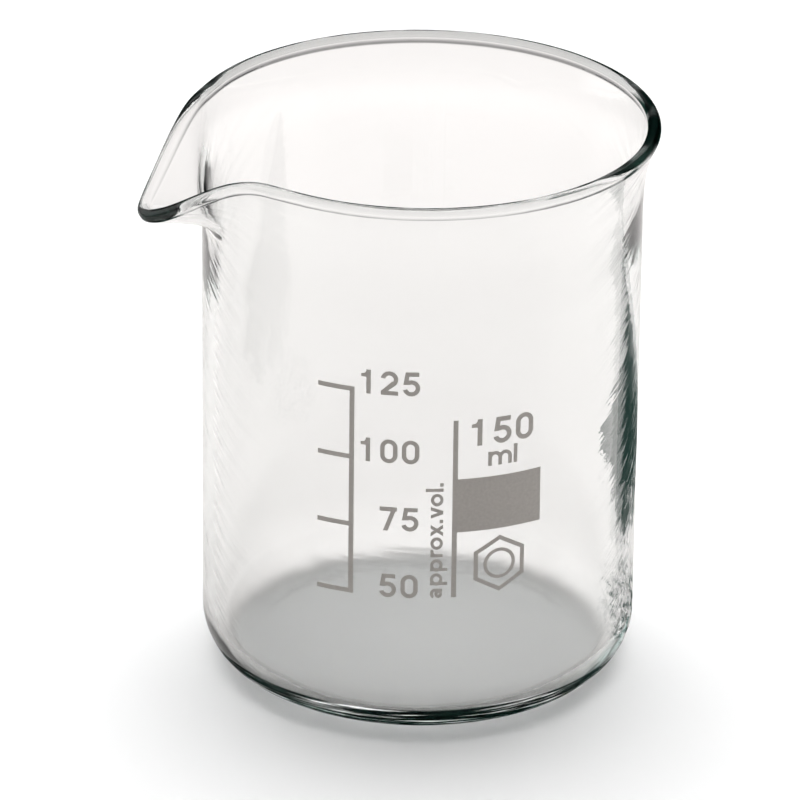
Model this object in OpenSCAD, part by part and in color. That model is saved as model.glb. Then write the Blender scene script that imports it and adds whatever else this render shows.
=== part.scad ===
// Low-form laboratory beaker with a spout, a rolled rim and a fired enamel scale.
// Millimetres, +Z up. The origin is the middle of the underside of the base, and the
// spout points along -X. Azimuths are counted from -Y, and grow towards +X.

/* [Glass body] */
// Outside diameter of the straight wall
body_d = 60; // [56:1:70]
// Height from the bench to the top of the rim
body_h = 80; // [76:1:100]
// Thickness of the wall
wall_t = 1.8; // [1.4:0.1:2.2]
// Thickness of the base
base_t = 2.2; // [1.6:0.1:3.2]
// Outside radius of the heel, where the base turns up into the wall
heel_r = 7.3; // [5:0.1:9]

/* [Rim] */
// How far the middle of the glass is flared outwards at the rim
rim_flare = 2.1; // [1.5:0.1:3]
// Height over which the wall flares out
rim_rise = 13.1; // [11:0.1:16]
// Lean of the glass just below the rim
rim_angle = 24; // [15:1:35]
// Thickness of the round bead at the edge
bead_d = 1.86; // [1.6:0.02:2.4]
// Thickness of the thinner glass below the bead
neck_t = 1.4; // [1.1:0.1:1.6]
// Height of that thinner glass
neck_h = 8; // [5:0.5:9]

/* [Spout] */
// How far the tip of the spout reaches out beyond the plain rim
spout_reach = 7.8; // [5:0.1:10]
// How far the tip of the spout dips below the plain rim
spout_dip = 8.5; // [5:0.1:10]
// Angle each side of the tip over which the rim swings out
reach_width = 41; // [32:1:50]
// Angle each side of the tip over which the rim dips
dip_width = 32; // [28:1:45]
// Direction of the glass at the tip, counted from straight up
tip_angle = 84; // [75:1:90]

/* [Enamel marks] */
// Angle round the body from the spout to the right-hand edge of the numerals
label_angle = 72; // [60:1:120]
// Thickness of the fired enamel
enamel_t = 0.05; // [0.03:0.01:0.1]
// Width of the scale's lines
line_w = 0.68; // [0.5:0.01:0.9]
// Height of the scale's numerals
numeral_h = 3.5; // [2.5:0.1:4]
// Height of the capacity figure
capacity_h = 3.9; // [3:0.1:4.5]
// Height of the writing panel
panel_h = 7.9; // [6:0.1:9]
// Size across the corners of the emblem
emblem_d = 8.4; // [6:0.1:8.4]

/* [Hidden] */
$fn = 180;

glass_colour = [0.84, 0.90, 0.88, 0.5];
enamel_colour = [0.58, 0.56, 0.53];

// Body
wall_r = body_d / 2;
half_t = wall_t / 2;
mid_r = wall_r - half_t;
inner_r = wall_r - wall_t;
inner_heel_r = heel_r - wall_t;

// Rim: the wall's middle line leaves the straight wall at flare_z and ends in the bead.
// Each handle is the length of a control line of that curve, at its lower and upper end.
bead_r = bead_d / 2;
lip_r = mid_r + rim_flare;
lip_z = body_h - bead_r;
flare_z = lip_z - rim_rise;
plain_handles = [7, 4];
tip_handles = [2.6, 6];
keel_rise = 0.4;

// Spout: a sector of the wall that is made separately and fills a gap in the turned body.
// It is thinner by seam at each face, and tapers into the glass beside the gap and below
// it, so that no two faces lie on each other.
seam = 0.03;
taper = 0.3;
lap_angle = 1.5;
lap_h = 1;
overrun = 0.2;
gap_half = max(reach_width, dip_width) + 0.5;
gap_z = flare_z - 2;
reach_sharpness = 0.39;
dip_sharpness = 0.64;
keel_sharpness = 0.62;
tip_round = 1.2;
sections = 24;
crowding = 1.4;
length_steps = 14;
length_crowding = 1.35;
edge_steps = 9;

// Label
spout_azimuth = -90;
label_azimuth = spout_azimuth + label_angle;
scale_volumes = [50 : 25 : 125];
spine_arc = -9.2;
tick_l = 4.9;
numeral_gap = 0.4;
rule_arc = 4.85;
rule_h = 26.3;
capacity_arc = 6.75;
capacity_gap = 22;
unit_arc = 9.35;
unit_gap = 18.8;
unit_x_h = 2.1;
panel_w = 12;
panel_gap = 9.35;
legend_arc = 3.3;
legend_x_h = 1.67;
legend_stretch = 1.1;
emblem_arc = 11.2;
emblem_gap = 4.1;

// Glyphs are drawn on a grid in which a numeral is 10 high
grid = 10;
pen = 1.75;
digit_w = 6.7;
digit_pitch = 8.35;
x_h = 7;

// ---- Heights of the scale ----

// Glass missing from the cavity's square corner because of the inside heel, in mm3
heel_loss = 2 * PI * (inner_r - 0.2234 * inner_heel_r) * pow(inner_heel_r, 2) * (1 - PI / 4);

// Height above the bench of a volume in millilitres
function level(volume) = base_t + (volume * 1000 + heel_loss) / (PI * inner_r * inner_r);

scale_z = level(50);

// ---- Glass ----

// A column about the axis with a rounded lower corner
module column_outline(r, z0, z1, corner) {
    translate([0, z0]) square([r - corner, z1 - z0]);
    translate([0, z0 + corner]) square([r, z1 - z0 - corner]);
    translate([r - corner, z0 + corner]) circle(corner);
}

// The part of the plane about the origin between two angles
module wedge(a0, a1, size) {
    steps = ceil((a1 - a0) / 40);
    polygon(concat(
        [[0, 0]],
        [for (i = [0 : steps]) let (a = a0 + (a1 - a0) * i / steps) size * [cos(a), sin(a)]]
    ));
}

// A stroke of width w that follows an arc of radius r
module arc_stroke(r, w, a0, a1) {
    intersection() {
        difference() {
            circle(r + w / 2);
            circle(r - w / 2);
        }
        wedge(a0, a1, 2 * (r + w));
    }
}

module vessel_outline() {
    difference() {
        column_outline(wall_r, 0, flare_z, heel_r);
        column_outline(inner_r, base_t, body_h, inner_heel_r);
    }
    polygon(flare_outline(180, 0, flare_z - overrun));
}

// 1 at the spout's middle, falling to 0 at the given angle each side of it
function swell(angle, width, sharpness) =
    let (
        start = pow(tip_round, sharpness),
        run = pow(norm([angle, tip_round]), sharpness) - start,
        whole = pow(norm([width, tip_round]), sharpness) - start
    )
    (1 + cos(180 * min(1, run / whole))) / 2;

// Control points, in the plane of radius and height, of the middle of the glass from the
// top of the straight wall to the edge
function flare_points(angle) =
    let (
        out = swell(angle, reach_width, reach_sharpness),
        down = swell(angle, dip_width, dip_sharpness),
        keel = swell(angle, reach_width, keel_sharpness),
        start = [mid_r, flare_z + keel_rise * keel],
        end = [lip_r + spout_reach * out, lip_z - spout_dip * down],
        turn = rim_angle + (tip_angle - rim_angle) * keel,
        handles = plain_handles + (tip_handles - plain_handles) * keel
    )
    [start, start + [0, handles[0]], end - handles[1] * [sin(turn), cos(turn)], end];

// A smooth rise from 0 at the value low to 1 at the value high
function smooth_share(value, low, high) =
    let (share = max(0, min(1, (value - low) / (high - low))))
    share * share * (3 - 2 * share);

// How far the outer face lies from the middle line, at a distance down from the bead's
// middle: it runs smoothly into the bead
function outer_offset(distance) = bead_r + (half_t - bead_r) * smooth_share(distance, 0, neck_h);

// The same for the inner face: it draws in towards the neck, and the bead swells above it
function inner_offset(distance) =
    max(
        neck_t + (wall_t - neck_t) * smooth_share(distance, neck_h, rim_rise) - half_t,
        sqrt(max(0, pow(bead_r, 2) - pow(distance, 2)))
    );

function bezier(p, t) =
    pow(1 - t, 3) * p[0] + 3 * t * pow(1 - t, 2) * p[1] + 3 * t * t * (1 - t) * p[2] + pow(t, 3) * p[3];

function bezier_slope(p, t) =
    pow(1 - t, 2) * (p[1] - p[0]) + 2 * t * (1 - t) * (p[2] - p[1]) + t * t * (p[3] - p[2]);

// A point on the outer face of the glass, or on the inner face if side is -1
function beside(p, t, side, trim) =
    let (
        slope = bezier_slope(p, t),
        middle = bezier(p, t),
        distance = norm(p[3] - middle),
        offset = (side > 0 ? outer_offset(distance) : inner_offset(distance)) - trim
    )
    middle + side * offset * [slope[1], -slope[0]] / norm(slope);

function length_share(i) = 1 - pow(1 - i / length_steps, length_crowding);

// Closed outline of one section of the flared glass, trimmed by so much at each face: up
// the outside from height low, round the bead and down the inside
function flare_outline(angle, trim, low) =
    let (
        p = flare_points(angle),
        heading = atan2(p[3][1] - p[2][1], p[3][0] - p[2][0]),
        half = half_t - trim
    )
    concat(
        [[mid_r + half, low]],
        [for (i = [0 : length_steps - 1]) beside(p, length_share(i), 1, trim)],
        [for (i = [0 : edge_steps])
            let (a = heading - 90 + 180 * i / edge_steps) p[3] + (bead_r - trim) * [cos(a), sin(a)]],
        [for (i = [length_steps - 1 : -1 : 0]) beside(p, length_share(i), -1, trim)],
        [[mid_r - half, low]]
    );

// The same outline with a tapered tongue below it, which reaches into the turned wall
function spout_outline(angle, trim) =
    let (
        low = gap_z - overrun,
        root = half_t - trim - taper
    )
    concat(
        [[mid_r + root, low - lap_h]],
        flare_outline(angle, trim, low),
        [[mid_r - root, low - lap_h]]
    );

// Sections crowd together towards the tip, and the last on each side lies in the lap
function section_angle(i) =
    let (share = i / sections)
    abs(share) > 1
        ? sign(share) * (gap_half + lap_angle)
        : sign(share) * (gap_half + overrun) * pow(abs(share), crowding);

module spout_sector() {
    last = sections + 1;
    angles = [for (i = [-last : last]) section_angle(i)];
    count = len(spout_outline(0, seam));
    points = [
        for (angle = angles, p = spout_outline(angle, abs(angle) > gap_half + overrun ? seam + taper : seam))
            [p[0] * cos(180 + angle), p[0] * sin(180 + angle), p[1]]
    ];
    skin = [
        for (s = [0 : len(angles) - 2], i = [0 : count - 1])
            let (
                a = s * count + i,
                b = s * count + (i + 1) % count
            )
            each [[a, b, b + count], [a, b + count, a + count]]
    ];
    far = (len(angles) - 1) * count;
    ends = [
        for (i = [0 : count / 2 - 2])
            let (j = count - 1 - i)
            each [[j, j - 1, i + 1, i], [far + i, far + i + 1, far + j - 1, far + j]]
    ];
    polyhedron(points, concat(skin, ends));
}

module spout_gap() {
    rotate([0, 0, 180 - gap_half]) rotate_extrude(angle = 2 * gap_half)
        translate([inner_r - 5, gap_z]) square([20, body_h]);
}

module glass_vessel() {
    color(glass_colour) {
        difference() {
            rotate_extrude() vessel_outline();
            spout_gap();
        }
        spout_sector();
    }
}

// ---- Enamel ----

// Angle round the body of a distance along the outside of the wall
function arc_angle(arc) = arc / wall_r * 180 / PI;

// A flat bar with its lower left corner at x, y
module bar(x, y, w, h) {
    translate([x, y]) square([w, h]);
}

// A curved bar on the wall between two distances along it and two heights
module wall_bar(arc0, arc1, z0, z1) {
    rotate([0, 0, label_azimuth - 90 + arc_angle(arc0)])
        rotate_extrude(angle = arc_angle(arc1 - arc0))
            translate([wall_r, z0]) square([enamel_t, z1 - z0]);
}

// Stands a flat shape up on the wall, as a short prism that crosses the wall's face
module on_wall(arc, z) {
    reach = 1;
    rotate([0, 0, label_azimuth + arc_angle(arc)])
        translate([0, reach - wall_r, z])
            rotate([90, 0, 0]) linear_extrude(2 * reach) children();
}

// Keeps only the enamel's thickness of what stands on the wall
module enamel(z0, z1) {
    margin = 1;
    intersection() {
        translate([0, 0, z0 - margin]) difference() {
            cylinder(r = wall_r + enamel_t, h = z1 - z0 + 2 * margin);
            cylinder(r = wall_r, h = z1 - z0 + 2 * margin);
        }
        union() children();
    }
}

// A straight stroke that leans from x0 at y0 to x1 at y1
module slant(x0, x1, y0, y1, w) {
    polygon([[x0, y0], [x0 + w, y0], [x1 + w, y1], [x1, y1]]);
}

module arc_at(x, y, r, a0, a1) {
    translate([x, y]) arc_stroke(r, pen, a0, a1);
}

module full_ring(x, y, r) {
    translate([x, y]) difference() {
        circle(r + pen / 2);
        circle(r - pen / 2);
    }
}

module digit_0() {
    r = digit_w / 2;
    difference() {
        union() {
            bar(0, r, digit_w, grid - 2 * r);
            for (y = [r, grid - r]) translate([r, y]) circle(r);
        }
        bar(pen, r, digit_w - 2 * pen, grid - 2 * r);
        for (y = [r, grid - r]) translate([r, y]) circle(r - pen);
    }
}

module digit_1() {
    bar(2.7, 0, pen, grid);
    polygon([[0.7, 6.9], [2.9, 6.9], [2.9, 9.6], [2.2, 8.5], [0.7, 8.2]]);
}

module digit_2() {
    r = (digit_w - pen) / 2;
    top = grid - digit_w / 2;
    bar(0, 0, digit_w, pen);
    arc_at(digit_w / 2, top, r, -42, 172);
    polygon([[0, pen - 0.1], [2.6, pen - 0.1], [6.0, 4.5], [4.45, 5.85]]);
}

module digit_5() {
    r = (digit_w - pen) / 2;
    low = digit_w / 2;
    bar(1.1, grid - pen, 5.2, pen);
    slant(0.3, 1.1, 4.7, grid - 0.1, pen);
    arc_at(low, low, r, -164, 128);
}

module digit_7() {
    bar(0, grid - pen, digit_w, pen);
    slant(1.4, digit_w - pen - 0.1, 0, grid - 0.2, pen + 0.1);
}

module letter_a() {
    r = (x_h - pen) / 4;
    full_ring(r + pen / 2, r + pen / 2, r);
    bar(2 * r + pen / 2, 0, pen, x_h - 1.6);
    arc_at(2 * r + 1.5 * pen - 2.9, x_h - 2.9, 2.9 - pen / 2, 0, 155);
}

module letter_bowl(x, y) {
    full_ring(x + x_h / 2 - 0.2, y + x_h / 2, (x_h - pen) / 2);
}

module letter_p() {
    bar(0, -2.8, pen, x_h + 2.8);
    letter_bowl(0, 0);
}

module letter_r() {
    bar(0, 0, pen, x_h);
    arc_at(3.3, x_h - 3.3, 3.3 - pen / 2, 70, 170);
}

module letter_o() {
    letter_bowl(0.2, 0);
}

module letter_x() {
    slant(0, 4.4, 0, x_h, 2.1);
    slant(4.4, 0, 0, x_h, 2.1);
}

module letter_v() {
    slant(2.3, 0, 0, x_h, 1.9);
    slant(2.3, 4.6, 0, x_h, 1.9);
}

module letter_l(h = grid) {
    bar(0, 0, pen, h);
}

module letter_m() {
    r = 2.4;
    bar(0, 0, pen, x_h);
    for (i = [0, 1]) translate([i * 2 * r, 0]) {
        arc_at(r + pen / 2, x_h - r - pen / 2, r, 0, 180);
        bar(2 * r, 0, pen, x_h - r - pen / 2);
    }
}

module full_stop() {
    bar(0, 0, pen + 0.2, pen + 0.2);
}

module digit(value) {
    if (value == 0) digit_0();
    if (value == 1) digit_1();
    if (value == 2) digit_2();
    if (value == 5) digit_5();
    if (value == 7) digit_7();
}

// A number's digits in turn, each at its own place round the wall
module number(digits, arc, z, h) {
    unit = h / grid;
    enamel(z, z + h)
        for (i = [0 : len(digits) - 1])
            on_wall(arc + (i * digit_pitch + digit_w / 2) * unit, z)
                scale(unit) translate([-digit_w / 2, 0]) digit(digits[i]);
}

// A number of the scale, set so that it ends at the label's middle line
module numeral(digits, volume) {
    width = (digit_pitch * (len(digits) - 1) + digit_w) * numeral_h / grid;
    color(enamel_colour) number(digits, -width, level(volume) - numeral_gap, numeral_h);
}

module graduation_scale() {
    low = level(50);
    high = level(125);
    middle = spine_arc - tick_l / 2;
    color(enamel_colour) enamel(low, high)
        on_wall(middle, low) {
            bar(tick_l / 2 - line_w / 2, -line_w / 2, line_w, high - low + line_w);
            for (volume = scale_volumes)
                bar(-tick_l / 2, level(volume) - low - line_w / 2, tick_l, line_w);
        }
}

module numeral_50() { numeral([5, 0], 50); }

module numeral_75() { numeral([7, 5], 75); }

module numeral_100() { numeral([1, 0, 0], 100); }

module numeral_125() { numeral([1, 2, 5], 125); }

module capacity_150() {
    color(enamel_colour) number([1, 5, 0], capacity_arc, scale_z + capacity_gap, capacity_h);
}

module unit_ml() {
    unit = unit_x_h / x_h;
    z = scale_z + unit_gap;
    color(enamel_colour) enamel(z, z + grid * unit) {
        on_wall(unit_arc + 5.7 * unit, z) scale(unit) translate([-5.7, 0]) letter_m();
        on_wall(unit_arc + 13.1 * unit, z) scale(unit) translate([-pen / 2, 0]) letter_l(9.2);
    }
}

// The words "approx.vol.", which read upwards
module legend() {
    unit = legend_x_h / x_h;
    z = scale_z - line_w / 2;
    color(enamel_colour) enamel(z, z + 80 * unit)
        on_wall(legend_arc, z) scale([unit, unit * legend_stretch]) rotate(90) {
            letter_a();
            translate([7.3, 0]) letter_p();
            translate([15.3, 0]) letter_p();
            translate([23.3, 0]) letter_r();
            translate([27.6, 0]) letter_o();
            translate([35.3, 0]) letter_x();
            translate([42.6, 0]) full_stop();
            translate([45.4, 0]) letter_v();
            translate([52.3, 0]) letter_o();
            translate([60.5, 0]) letter_l();
            translate([63.4, 0]) full_stop();
        }
}

module label_rule() {
    low = scale_z - line_w / 2;
    color(enamel_colour) wall_bar(rule_arc - line_w / 2, rule_arc + line_w / 2, low, low + rule_h);
}

module writing_panel() {
    start = rule_arc + line_w / 2;
    low = scale_z + panel_gap;
    color(enamel_colour) wall_bar(start, start + panel_w, low, low + panel_h);
}

// A hexagon round a ring
module emblem() {
    ring_r = emblem_d * 0.27;
    z = scale_z + emblem_gap;
    color(enamel_colour) enamel(z - emblem_d / 2, z + emblem_d / 2)
        on_wall(emblem_arc, z) {
            rotate(30) difference() {
                circle(d = emblem_d, $fn = 6);
                circle(d = emblem_d - 2 * line_w, $fn = 6);
            }
            difference() {
                circle(ring_r);
                circle(ring_r - line_w * 0.7);
            }
        }
}

glass_vessel();
graduation_scale();
numeral_50();
numeral_75();
numeral_100();
numeral_125();
capacity_150();
unit_ml();
legend();
label_rule();
writing_panel();
emblem();
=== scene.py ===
"""Low-form glass beaker with an enamel scale, on a pale studio floor.

Lengths in the dimensions below are millimetres, as in the CAD, and are turned into metres
where a mesh is made. Azimuths are counted from -Y and grow towards +X.
"""

import math

import bpy
import numpy as np
from mathutils import Matrix, Vector


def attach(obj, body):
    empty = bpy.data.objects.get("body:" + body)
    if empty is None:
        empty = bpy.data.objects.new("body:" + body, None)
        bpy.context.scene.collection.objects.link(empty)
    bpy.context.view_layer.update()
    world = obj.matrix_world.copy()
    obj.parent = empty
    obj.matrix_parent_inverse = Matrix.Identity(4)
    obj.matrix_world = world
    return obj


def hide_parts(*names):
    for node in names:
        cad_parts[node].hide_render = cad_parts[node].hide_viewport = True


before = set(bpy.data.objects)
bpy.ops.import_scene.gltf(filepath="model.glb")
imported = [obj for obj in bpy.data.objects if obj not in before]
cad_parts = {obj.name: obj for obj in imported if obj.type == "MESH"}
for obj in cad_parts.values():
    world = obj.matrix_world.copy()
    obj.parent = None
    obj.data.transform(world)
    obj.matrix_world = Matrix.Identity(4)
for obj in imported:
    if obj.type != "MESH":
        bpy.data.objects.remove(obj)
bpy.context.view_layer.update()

MM = 0.001

# ---- Sizes of the glass: the CAD's, with a longer and smoother change of thickness ----

WALL_T = 1.8
HALF_T = WALL_T / 2
NECK_T = 1.4
THIN_TO = 8.0
THIN_FROM = 19.0
BEAD_R = 0.93
BEAD_BLEND = 0.45
BASE_T = 2.2
HEEL_R = 7.3
RIM_FLARE = 2.12
RIM_RISE = 13.1
RIM_ANGLE = math.radians(24)
SPOUT_DIP = 8.5
REACH_WIDTH = 41.0
DIP_WIDTH = 32.0
REACH_SHARPNESS = 0.39
DIP_SHARPNESS = 0.64
KEEL_SHARPNESS = 0.62
TIP_ROUND = 1.2
TIP_ANGLE = math.radians(84)
KEEL_RISE = 0.4
PLAIN_HANDLES = (7.0, 4.0)
TIP_HANDLES = (2.6, 6.0)

WALL_R = 30.0
BODY_H = 80.0
MID_R = WALL_R - HALF_T
INNER_R = WALL_R - WALL_T
LIP_R = MID_R + RIM_FLARE
LIP_Z = BODY_H - BEAD_R
FLARE_Z = LIP_Z - RIM_RISE
SPOUT_REACH = 7.8
SPOUT_Z = FLARE_Z - 10
SPOUT_AZIMUTH = -90.0

# How finely the mesh is divided
NEAR_SPOUT = 60
NEAR_COLUMNS = 91
NEAR_CROWDING = 1.5
FAR_COLUMNS = 81
UPPER_RINGS = 81
STRAIGHT_SHARE = 0.2
EDGE_CROWDING = 1.35
BEAD_STEPS = 17
BEAD_MARGIN = 3
HEEL_STEPS = 17
WALL_RINGS = 37
FLAT_RADII = (5, 10, 15, 19)


# ---- The vessel's mesh ----


def swell(angle, width, sharpness):
    """1 in the middle of the spout, falling to 0 at width degrees each side of it."""
    start = TIP_ROUND**sharpness
    run = np.hypot(angle, TIP_ROUND) ** sharpness - start
    whole = math.hypot(width, TIP_ROUND) ** sharpness - start
    return (1 + np.cos(np.pi * np.minimum(1, run / whole))) / 2


def columns():
    """Angles from the spout round the body, crowded together towards the spout's tip."""
    near = NEAR_SPOUT * np.linspace(0, 1, NEAR_COLUMNS) ** NEAR_CROWDING
    far = np.linspace(NEAR_SPOUT, 180, FAR_COLUMNS)[1:-1]
    half = np.concatenate([near, far])
    return np.concatenate([-half[:0:-1], half, [180.0]])


def between(plain, tip, share):
    """A value at the plain rim, at the spout's tip, or a share of the way between them."""
    return plain + (tip - plain) * share


def middle_surface(angles, shares):
    """Points in the middle of the glass, from SPOUT_Z up to the edge, by angle and share."""
    out = swell(angles, REACH_WIDTH, REACH_SHARPNESS)
    down = swell(angles, DIP_WIDTH, DIP_SHARPNESS)
    keel = swell(angles, REACH_WIDTH, KEEL_SHARPNESS)
    turn = between(RIM_ANGLE, TIP_ANGLE, keel)
    start_handle, end_handle = (between(*ends, keel) for ends in zip(PLAIN_HANDLES, TIP_HANDLES))
    start = np.stack([np.full_like(out, MID_R), FLARE_Z + KEEL_RISE * keel])
    end = np.stack([LIP_R + SPOUT_REACH * out, LIP_Z - SPOUT_DIP * down])
    up = np.stack([np.zeros_like(keel), start_handle])
    back = end_handle * np.stack([np.sin(turn), np.cos(turn)])
    knots = [start, start + up, end - back, end]
    low = np.stack([np.full_like(out, MID_R), np.full_like(out, SPOUT_Z)])
    rows = []
    for share in shares:
        if share < STRAIGHT_SHARE:
            rows.append(low + (start - low) * share / STRAIGHT_SHARE)
        else:
            t = 1 - (1 - (share - STRAIGHT_SHARE) / (1 - STRAIGHT_SHARE)) ** EDGE_CROWDING
            weights = [(1 - t) ** 3, 3 * t * (1 - t) ** 2, 3 * t * t * (1 - t), t**3]
            rows.append(sum(w * k for w, k in zip(weights, knots)))
    radius, height = np.moveaxis(np.array(rows), 1, 0)
    azimuth = np.radians(SPOUT_AZIMUTH + angles)
    return np.stack([radius * np.sin(azimuth), -radius * np.cos(azimuth), height], axis=-1)


def unit(v):
    return v / np.linalg.norm(v, axis=-1, keepdims=True)


def smooth_share(value, low, high):
    """0 at low, 1 at high, with level ends."""
    share = np.clip((value - low) / (high - low), 0, 1)
    return share**2 * (3 - 2 * share)


def offsets(distance):
    """How far the outer and inner faces are from the middle line, by distance from the bead.

    The glass thins from the inside towards the neck, and the round bead then swells inwards.
    """
    outer = BEAD_R + (HALF_T - BEAD_R) * smooth_share(distance, 0, THIN_TO)
    thickness = NECK_T + (WALL_T - NECK_T) * smooth_share(distance, THIN_TO, THIN_FROM)
    sheet = thickness - HALF_T
    bead = np.sqrt(np.clip(BEAD_R**2 - distance**2, 0, None))
    gap = np.abs(bead - sheet) / BEAD_BLEND
    inner = np.maximum(bead, sheet) + BEAD_BLEND * np.clip(1 - gap, 0, None) ** 2 / 4
    return outer, inner


def spout_rings(angles):
    """Rings up the outside of the upper wall, over the edge and down the inside."""
    middle = middle_surface(angles, np.linspace(0, 1, UPPER_RINGS))
    wrapped = np.concatenate([middle[:, -1:], middle, middle[:, :1]], axis=1)
    along = wrapped[:, 2:] - wrapped[:, :-2]
    rise = np.gradient(middle, axis=0)
    outward = unit(np.cross(along, rise))
    edge = middle[-1]
    side = outward[-1]
    forward = unit(np.cross(side, along[-1]))
    turns = np.radians(np.linspace(90, -90, BEAD_STEPS))[1:-1]
    rim = [edge + BEAD_R * (math.sin(a) * side + math.cos(a) * forward) for a in turns]
    distance = np.linalg.norm(middle - edge, axis=-1)
    outer, inner = offsets(distance)
    outside = list(middle + outer[..., None] * outward)
    inside = list(middle - inner[..., None] * outward)
    return outside, rim, inside[::-1]


def turned_ring(angles, radius, z):
    """A ring of points about the axis."""
    azimuth = np.radians(SPOUT_AZIMUTH + angles)
    flat = np.stack([np.sin(azimuth), -np.cos(azimuth)], axis=-1) * radius
    return np.concatenate([flat, np.full((len(angles), 1), z)], axis=1)


def heel_rings(angles, radius, floor, corner):
    """Rings round a rounded lower corner, from the flat floor up to the wall."""
    rings = []
    for a in np.radians(np.linspace(-90, 0, HEEL_STEPS)):
        r = radius - corner + corner * math.cos(a)
        rings.append(turned_ring(angles, r, floor + corner + corner * math.sin(a)))
    return rings


def vessel_rings(angles):
    """Rings from the middle underneath to the middle inside, and which of them are the bead."""
    inner_heel = HEEL_R - WALL_T
    outer_heights = np.linspace(HEEL_R, SPOUT_Z, WALL_RINGS)[1:-1]
    inner_heights = np.linspace(SPOUT_Z, BASE_T + inner_heel, WALL_RINGS)[1:-1]
    outside, rim, inside = spout_rings(angles)
    low = [turned_ring(angles, r, 0) for r in FLAT_RADII]
    low += heel_rings(angles, WALL_R, 0, HEEL_R)
    low += [turned_ring(angles, WALL_R, z) for z in outer_heights]
    high = [turned_ring(angles, INNER_R, z) for z in inner_heights]
    high += heel_rings(angles, INNER_R, BASE_T, inner_heel)[::-1]
    high += [turned_ring(angles, r, BASE_T) for r in reversed(FLAT_RADII)]
    rings = low + outside + rim + inside + high
    first = len(low + outside)
    bead = np.zeros(len(rings))
    bead[first - BEAD_MARGIN : first + len(rim) + BEAD_MARGIN] = 1
    return rings, bead


def new_object(name, mesh):
    obj = bpy.data.objects.new(name, mesh)
    bpy.context.scene.collection.objects.link(obj)
    return obj


def make_vessel():
    """One closed skin of rings, with the bead marked for the glass material."""
    angles = columns()
    rings, bead = vessel_rings(angles)
    count = len(angles)
    points = np.concatenate(rings) * MM
    faces = []
    for ring in range(len(rings) - 1):
        for i in range(count):
            j = (i + 1) % count
            a, b = ring * count, (ring + 1) * count
            faces.append((a + i, a + j, b + j, b + i))
    under, floor = len(points), len(points) + 1
    points = np.concatenate([points, [[0, 0, 0], [0, 0, BASE_T * MM]]])
    last = (len(rings) - 1) * count
    for i in range(count):
        j = (i + 1) % count
        faces.append((under, j, i))
        faces.append((floor, last + i, last + j))
    mesh = bpy.data.meshes.new("vessel_body")
    mesh.from_pydata(points.tolist(), [], faces)
    mesh.polygons.foreach_set("use_smooth", [True] * len(mesh.polygons))
    share = mesh.attributes.new("bead", "FLOAT", "POINT")
    share.data.foreach_set("value", np.append(np.repeat(bead, count), [0, 0]))
    mesh.update()
    return new_object("vessel_body", mesh)


def direction(azimuth, elevation):
    """A unit vector from two angles in degrees."""
    a, e = math.radians(azimuth), math.radians(elevation)
    return Vector((math.sin(a) * math.cos(e), -math.cos(a) * math.cos(e), math.sin(e)))


# ---- Node trees ----

# Lengths are metres from here on
CAMERA_AZIMUTH = SPOUT_AZIMUTH + 72
AWAY = direction(CAMERA_AZIMUTH + 180, 0)
RIGHT = direction(CAMERA_AZIMUTH + 90, 0)


class Tree:
    """Adds nodes to the node tree of a material or a world."""

    def __init__(self, tree):
        self.tree = tree

    def add(self, kind, **settings):
        node = self.tree.nodes.new("ShaderNode" + kind)
        for name, value in settings.items():
            setattr(node, name, value)
        return node

    def put(self, socket, value):
        """Feeds a socket with another node's output, or sets it to a fixed value."""
        if isinstance(value, bpy.types.NodeSocket):
            self.tree.links.new(value, socket)
        else:
            socket.default_value = value

    def coords(self, kind="Object"):
        return self.add("TexCoord").outputs[kind]

    def ray(self, kind):
        return self.add("LightPath").outputs[kind]

    def height(self, coords):
        node = self.add("SeparateXYZ")
        self.put(node.inputs[0], coords)
        return node.outputs["Z"]

    def vector(self, operation, one, other, output="Vector"):
        node = self.add("VectorMath", operation=operation)
        self.put(node.inputs[0], one)
        self.put(node.inputs[1], other)
        return node.outputs[output]

    def along(self, coords, axis):
        """How far a point lies in the direction of an axis."""
        return self.vector("DOT_PRODUCT", coords, axis, "Value")

    def math(self, operation, first, *others):
        for other in others:
            node = self.add("Math", operation=operation)
            self.put(node.inputs[0], first)
            self.put(node.inputs[1], other)
            first = node.outputs[0]
        return first

    def span(self, value, low, high, start=0.0, end=1.0, smooth=True):
        """Start where the value is low, end where it is high, and a ramp between them."""
        node = self.add("MapRange", interpolation_type="SMOOTHSTEP" if smooth else "LINEAR")
        self.put(node.inputs["Value"], value)
        self.put(node.inputs["From Min"], low)
        self.put(node.inputs["From Max"], high)
        self.put(node.inputs["To Min"], start)
        self.put(node.inputs["To Max"], end)
        return node.outputs["Result"]

    def noise(self, coords, size, detail):
        """Cloudy noise with patches of about the given size along each axis."""
        node = self.add("TexNoise")
        self.put(node.inputs["Vector"], self.vector("DIVIDE", coords, size))
        self.put(node.inputs["Scale"], 1.0)
        self.put(node.inputs["Detail"], detail)
        return node.outputs["Fac"]

    def shader(self, kind, **inputs):
        node = self.add(kind)
        for name, value in inputs.items():
            self.put(node.inputs[name], value)
        return node.outputs[0]

    def mix_shaders(self, share, one, other):
        node = self.add("MixShader")
        for socket, value in zip(node.inputs, (share, one, other)):
            self.put(socket, value)
        return node.outputs[0]

    def mix(self, share, one, other, kind="RGBA"):
        """Mixes two colours or two numbers; the node keeps other sockets for each kind."""
        node = self.add("Mix", data_type=kind)
        first = {"FLOAT": 2, "RGBA": 6}[kind]
        self.put(node.inputs[0], share)
        self.put(node.inputs[first], one)
        self.put(node.inputs[first + 1], other)
        return node.outputs[first // 3]

    def surface(self, shader, volume=None):
        out = self.add("OutputMaterial")
        self.put(out.inputs["Surface"], shader)
        if volume:
            self.put(out.inputs["Volume"], volume)


def new_material(name):
    material = bpy.data.materials.new(name)
    material.use_nodes = True
    material.node_tree.nodes.clear()
    return material, Tree(material.node_tree)


# ---- Glass ----

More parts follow.
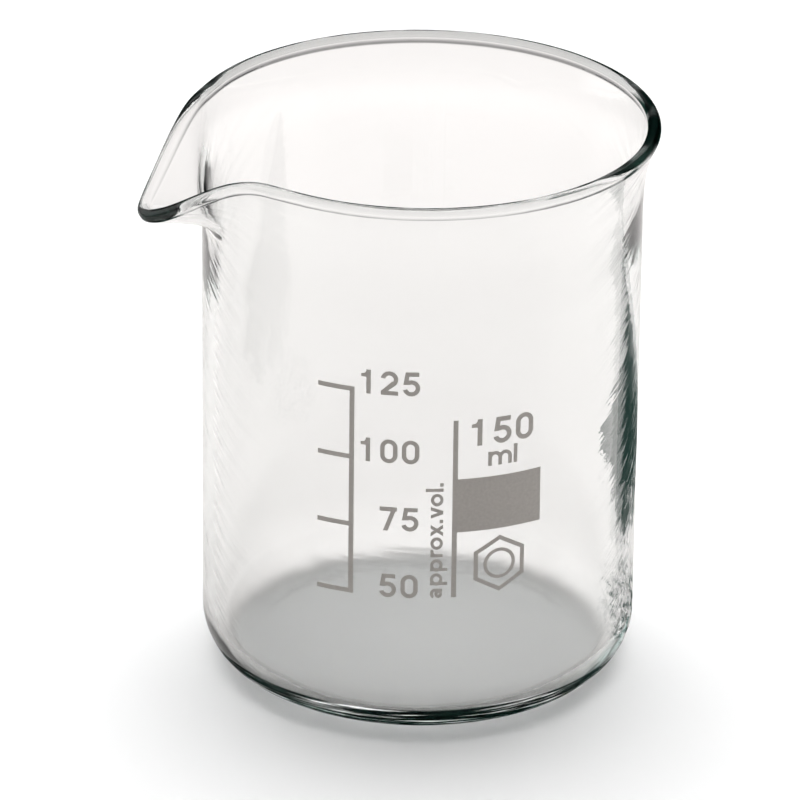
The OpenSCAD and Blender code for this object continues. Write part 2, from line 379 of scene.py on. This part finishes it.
GLASS_IOR = 1.474
GLASS_TINT = (0.44, 0.62, 0.58, 1)
GLASS_DENSITY = 22.0
# Near-black green glass for the painted dark lines
PAINTED_LINE_TINT = (0.015, 0.040, 0.034, 1)
STREAK_TILT = math.radians(27)
STREAK_SIZE = (0.010, 0.010, 0.0018)
STREAK_HEIGHT = 0.00003
# Painted shade and painted glints: level lines and glints drawn on the heel where the camera sees it
HEEL_LINE_SIZE = (0.013, 0.013, 0.00045)
HEEL_LINES_TOP = (0.0052, 0.0047)
HEEL_LINES_FOOT = (0.0009, 0.0012)
HEEL_SHADE_LEVELS = (0.56, 0.52)
HEEL_GLINT_LEVELS = (0.58, 0.66)
# Painted shade on the bead: dark side lines and a grey far half
BEAD_LINE_SIZE = (0.006, 0.006, 0.006)
BEAD_LINE_NOISE = (0.35, 0.55)
BEAD_LINE_LEAST = 0.3
BEAD_EDGE = (0.42, 0.60)
FAR_BEAD = (0.002, 0.012)
FAR_BEAD_SHADE = 0.31


def streak_height(tree, coords):
    """Height, in metres, of the faint slanting streaks that drawing leaves in the wall."""
    tilt = tree.add("Mapping", vector_type="TEXTURE")
    tree.put(tilt.inputs["Vector"], coords)
    tree.put(tilt.inputs["Rotation"], (STREAK_TILT, 0, math.radians(CAMERA_AZIMUTH)))
    return tree.math("MULTIPLY", tree.noise(tilt.outputs[0], STREAK_SIZE, 2.0), STREAK_HEIGHT)


def heel_painted_lines(tree, coords):
    """Shares of painted shade and painted glints on the heel: dark level lines and bright glints,
    standing in for the shaded floor and the dark room that the heel's glass bends into view.
    """
    z = tree.height(coords)
    zone = tree.math("MULTIPLY", tree.span(z, *HEEL_LINES_TOP), tree.span(z, *HEEL_LINES_FOOT))
    level = tree.noise(coords, HEEL_LINE_SIZE, 5.0)
    dark = tree.math("MULTIPLY", zone, tree.span(level, *HEEL_SHADE_LEVELS))
    bright = tree.math("MULTIPLY", zone, tree.span(level, *HEEL_GLINT_LEVELS))
    return dark, bright


def bead_painted_shade(tree, coords):
    """Painted shade on the bead: a dark line along each side of it, standing in for the dark room it
    reflects, and a grey painted shade on its far half.
    """
    bead = tree.add("Attribute", attribute_name="bead").outputs["Fac"]
    facing = tree.add("LayerWeight").outputs["Facing"]
    noise = tree.noise(coords, BEAD_LINE_SIZE, 2.0)
    strength = tree.span(noise, *BEAD_LINE_NOISE, start=BEAD_LINE_LEAST)
    edge = tree.math("MULTIPLY", tree.span(facing, *BEAD_EDGE), strength)
    far = tree.span(tree.along(coords, AWAY), *FAR_BEAD, end=FAR_BEAD_SHADE)
    return tree.math("MULTIPLY", bead, tree.math("MAXIMUM", edge, far))


def glass_material():
    """Clear glass, with painted dark lines and painted glints where a camera sees it, standing in for
    what a dark room draws in it.
    """
    material, tree = new_material("clear_glass")
    coords = tree.coords()
    bump = tree.add("Bump")
    tree.put(bump.inputs["Strength"], 1.0)
    tree.put(bump.inputs["Distance"], 1.0)
    tree.put(bump.inputs["Height"], streak_height(tree, coords))
    clear = tree.shader("BsdfGlass", IOR=GLASS_IOR, Roughness=0.0, Normal=bump.outputs[0])
    painted_shade_glass = tree.shader("BsdfGlass", Color=PAINTED_LINE_TINT, IOR=GLASS_IOR, Roughness=0.0)
    heel_painted_shade, heel_painted_glint = heel_painted_lines(tree, coords)
    seen = tree.ray("Is Camera Ray")
    # Painted shade: heel and bead lines in near-black glass, for camera rays only
    dark = tree.math("MULTIPLY", seen, tree.math("MAXIMUM", heel_painted_shade, bead_painted_shade(tree, coords)))
    drawn = tree.mix_shaders(dark, clear, painted_shade_glass)
    # Painted glints: a white glow on the heel, for camera rays only
    bright = tree.math("MULTIPLY", seen, heel_painted_glint)
    glass = tree.mix_shaders(bright, drawn, tree.shader("Emission"))
    tree.surface(glass, tree.shader("VolumeAbsorption", Color=GLASS_TINT, Density=GLASS_DENSITY))
    return material


# ---- Enamel ----

# Painted shade: the white enamel's greys stand in for its backlit, shaded look
ENAMEL_SHADED_GREYS = ((0.66, 0.63, 0.59, 1), (0.84, 0.81, 0.77, 1))
ENAMEL_GRAIN = (0.0004, 0.0004, 0.0004)
ENAMEL_ROUGHNESS = 0.6


def enamel_material():
    """White enamel painted matt warm grey, as painted shade for how it looks backlit; faintly grained.
    """
    material, tree = new_material("grey_enamel")
    ramp = tree.add("ValToRGB")
    tree.put(ramp.inputs["Fac"], tree.noise(tree.coords(), ENAMEL_GRAIN, 2.0))
    for element, colour in zip(ramp.color_ramp.elements, ENAMEL_SHADED_GREYS):
        element.color = colour
    shade = tree.add("BsdfPrincipled")
    tree.put(shade.inputs["Base Color"], ramp.outputs["Color"])
    tree.put(shade.inputs["Roughness"], ENAMEL_ROUGHNESS)
    tree.surface(shade.outputs[0])
    return material


# ---- Studio ----

# Painted shade on the paper, as the glass shows it: grey by the distance in metres from the beaker's
# axis
FLOOR_SHADE_GREYS = [
    (0.0, 0.84), (0.03, 0.82), (0.05, 0.70), (0.12, 0.74), (0.17, 0.78),
    (0.2, 0.82), (0.3, 0.70), (0.5, 0.40), (1.0, 0.25),
]
FLOOR_WARMTH = (1.0, 0.967, 0.953)
FLOOR_WHITE = (0.97, 0.97, 0.97, 1)
FLOOR_HALF = 20.0
FLOOR_DROP = 0.00005
# Painted shadow to the front left of the beaker, which only the glass shows
SHADE_AZIMUTH = -25.0
SHADE_REACH = (-0.02, 0.028)
SHADE_GREYS = (1.05, 0.78)
# Painted shade: dark green patches on the floor beside the heel, which only the glass shows
DARK_PATCH_SIZE = (0.003, 0.003, 0.003)
DARK_PATCH_NOISE = (0.49, 0.54)
DARK_PATCH_NEAR_BEAKER = (0.030, 0.032)
DARK_PATCH_FAR_RIGHT = (0.060, 0.050)
DARK_PATCH_FRONT = (-0.006, 0.0)
DARK_PATCH_BACK = (0.030, 0.018)
FLAG_GREEN = (0.018, 0.040, 0.034, 1)
FLAG_GRAIN = (0.00625, 0.00625, 0.00625)
FLAG_TORN_H = 0.012
FLAG_TEAR = (-0.12, 0.25)
FLAG_EDGE = (0.47, 0.50)
FLAG_NEAR_END = (0.058, 0.012)
FLAG_NEAR_H = 0.052
FLAG_FAR_END = (0.0335, 0.053)
FLAG_FAR_H = 0.009
BOX_AZIMUTH = 180.0
BOX_ELEVATION = 66.0
BOX_CONE = (52, 22)
BOX_LIGHT = 3.4
ROOM_LIGHT = 0.04
FILL_AZIMUTH = -125.0
FILL_ELEVATION = 5.0
FILL_CONE = (46, 24)
FILL_LIGHT = 0.9
SHEEN_AZIMUTH = 180.0
SHEEN_ELEVATION = 27.0
SHEEN_CONE = (28, 12)
SHEEN_LIGHT = 1.3
BACKDROP_LIGHT = 0.85


def paper_painted_shade(tree, coords):
    """Painted shade on warm paper: grey by distance from the beaker's axis, and a painted shadow darker
    to the front left.
    """
    ramp = tree.add("ValToRGB")
    elements = ramp.color_ramp.elements
    elements.remove(elements[1])
    for distance, grey in FLOOR_SHADE_GREYS:
        element = elements.new(distance) if distance > 0 else elements[0]
        element.color = [grey * share for share in FLOOR_WARMTH] + [1]
    length = tree.add("VectorMath", operation="LENGTH")
    tree.put(length.inputs[0], coords)
    tree.put(ramp.inputs["Fac"], length.outputs["Value"])
    front_left = tree.along(coords, direction(CAMERA_AZIMUTH + SHADE_AZIMUTH, 0))
    paper = tree.add("VectorMath", operation="SCALE")
    tree.put(paper.inputs[0], ramp.outputs["Color"])
    tree.put(paper.inputs["Scale"], tree.span(front_left, *SHADE_REACH, *SHADE_GREYS, smooth=False))
    return paper.outputs[0]


def dark_patch_share(tree, coords):
    """Painted shade: dark patches just to the right of the beaker, which the heel draws out into
    streaks.
    """
    right = tree.along(coords, RIGHT)
    away = tree.along(coords, AWAY)
    return tree.math(
        "MULTIPLY",
        tree.span(right, *DARK_PATCH_NEAR_BEAKER),
        tree.span(right, *DARK_PATCH_FAR_RIGHT),
        tree.span(away, *DARK_PATCH_FRONT),
        tree.span(away, *DARK_PATCH_BACK),
        tree.span(tree.noise(coords, DARK_PATCH_SIZE, 3.0), *DARK_PATCH_NOISE),
    )


def floor_material():
    """Paper that is evenly white to the camera, with painted shade, greyer, for rays that the glass has
    bent.
    """
    material, tree = new_material("studio_floor")
    coords = tree.coords()
    # Painted shade: dark patches and grey paper for rays through the glass
    with_dark_patch = tree.mix(dark_patch_share(tree, coords), paper_painted_shade(tree, coords), FLAG_GREEN)
    colour = tree.mix(tree.ray("Is Camera Ray"), with_dark_patch, FLOOR_WHITE)
    tree.surface(tree.shader("BsdfDiffuse", Color=colour))
    return material


def flag_material():
    """Dark green card, torn along its foot, that the wall's curve draws out into streaks."""
    material, tree = new_material("studio_flag")
    coords = tree.coords()
    foot = tree.span(tree.height(coords), 0.0, FLAG_TORN_H, *FLAG_TEAR, smooth=False)
    grain = tree.math("ADD", tree.noise(coords, FLAG_GRAIN, 5.0), foot)
    card = tree.span(grain, *FLAG_EDGE, smooth=False)
    glow = tree.shader("Emission", Color=FLAG_GREEN)
    tree.surface(tree.mix_shaders(card, tree.shader("BsdfTransparent"), glow))
    return material


def make_floor():
    half, z = FLOOR_HALF, -FLOOR_DROP
    mesh = bpy.data.meshes.new("studio_floor")
    corners = [(-half, -half, z), (half, -half, z), (half, half, z), (-half, half, z)]
    mesh.from_pydata(corners, [], [(0, 1, 2, 3)])
    mesh.materials.append(floor_material())
    new_object("studio_floor", mesh)


def make_flag():
    """A dark card beside and behind the beaker that only the glass sees."""
    near, far = (RIGHT * right + AWAY * away for right, away in (FLAG_NEAR_END, FLAG_FAR_END))
    up = Vector((0, 0, 1))
    corners = [near, far, far + up * FLAG_FAR_H, near + up * FLAG_NEAR_H]
    mesh = bpy.data.meshes.new("studio_flag")
    mesh.from_pydata(corners, [], [(0, 1, 2, 3)])
    mesh.materials.append(flag_material())
    flag = new_object("studio_flag", mesh)
    flag.visible_camera = False
    flag.visible_diffuse = False
    flag.visible_shadow = False


def lamp(tree, coords, azimuth, elevation, cone, light, dark):
    """A soft round light in one direction, its azimuth counted from the camera's.

    The cone's two angles are where the light ends and where it is full.
    """
    towards = tree.along(coords, direction(CAMERA_AZIMUTH + azimuth, elevation))
    outer, inner = (math.cos(math.radians(angle)) for angle in cone)
    return tree.span(towards, outer, inner, dark, light)


def make_world():
    """A dim room with one large soft light above and behind the beaker.

    What the glass alone shows of the room is darker than what lights the floor, and the
    camera sees an even backdrop.
    """
    world = bpy.data.worlds.new("studio")
    world.use_nodes = True
    tree = Tree(world.node_tree)
    coords = tree.coords("Generated")
    box = lamp(tree, coords, BOX_AZIMUTH, BOX_ELEVATION, BOX_CONE, BOX_LIGHT, ROOM_LIGHT)
    sheen = lamp(tree, coords, SHEEN_AZIMUTH, SHEEN_ELEVATION, SHEEN_CONE, SHEEN_LIGHT, ROOM_LIGHT)
    fill = lamp(tree, coords, FILL_AZIMUTH, FILL_ELEVATION, FILL_CONE, FILL_LIGHT, 0.0)
    in_glass = tree.math("MAXIMUM", sheen, fill)
    lit = tree.mix(tree.ray("Diffuse Depth"), in_glass, box, "FLOAT")
    back = world.node_tree.nodes["Background"]
    tree.put(back.inputs["Color"], (1, 1, 1, 1))
    tree.put(back.inputs["Strength"], tree.mix(tree.ray("Is Camera Ray"), lit, BACKDROP_LIGHT, "FLOAT"))
    bpy.context.scene.world = world


# Fitted so that the rim, walls and base fall where they are in the photograph
CAMERA_ELEVATION = 24.967
CAMERA_DISTANCE = 0.9293
CAMERA_ROLL = math.radians(0.726)
CAMERA_TARGET = Vector((0, 0, 0.040))
CAMERA_LENS = 303.8
CAMERA_SHIFT = (-0.02535, -0.01885)


def make_camera():
    """The camera looks down at the label's side; its azimuth puts the spout at the left."""
    back = direction(CAMERA_AZIMUTH, CAMERA_ELEVATION)
    data = bpy.data.cameras.new("camera")
    data.sensor_width = 36.0
    data.lens = CAMERA_LENS
    data.clip_start = 0.05
    data.clip_end = 100
    data.shift_x, data.shift_y = CAMERA_SHIFT
    camera = bpy.data.objects.new("camera", data)
    bpy.context.scene.collection.objects.link(camera)
    place = Matrix.Translation(CAMERA_TARGET + back * CAMERA_DISTANCE)
    turn = (-back).to_track_quat("-Z", "Y").to_matrix().to_4x4()
    camera.matrix_world = place @ turn @ Matrix.Rotation(CAMERA_ROLL, 4, "Z")
    bpy.context.scene.camera = camera


# ---- The scene ----

# Light crosses the glass many times inside the bead and the heel
BOUNCES = 64

vessel = make_vessel()
vessel.data.materials.append(glass_material())
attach(vessel, "root")
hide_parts("glass_vessel")

# The enamel marks are shown as the CAD has them
enamel = enamel_material()
for name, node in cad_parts.items():
    if name != "glass_vessel":
        node.data.materials.clear()
        node.data.materials.append(enamel)

make_floor()
make_flag()
make_world()
make_camera()

scene = bpy.context.scene
scene.view_settings.view_transform = "Standard"
scene.cycles.max_bounces = BOUNCES
scene.cycles.transmission_bounces = BOUNCES
scene.cycles.glossy_bounces = BOUNCES
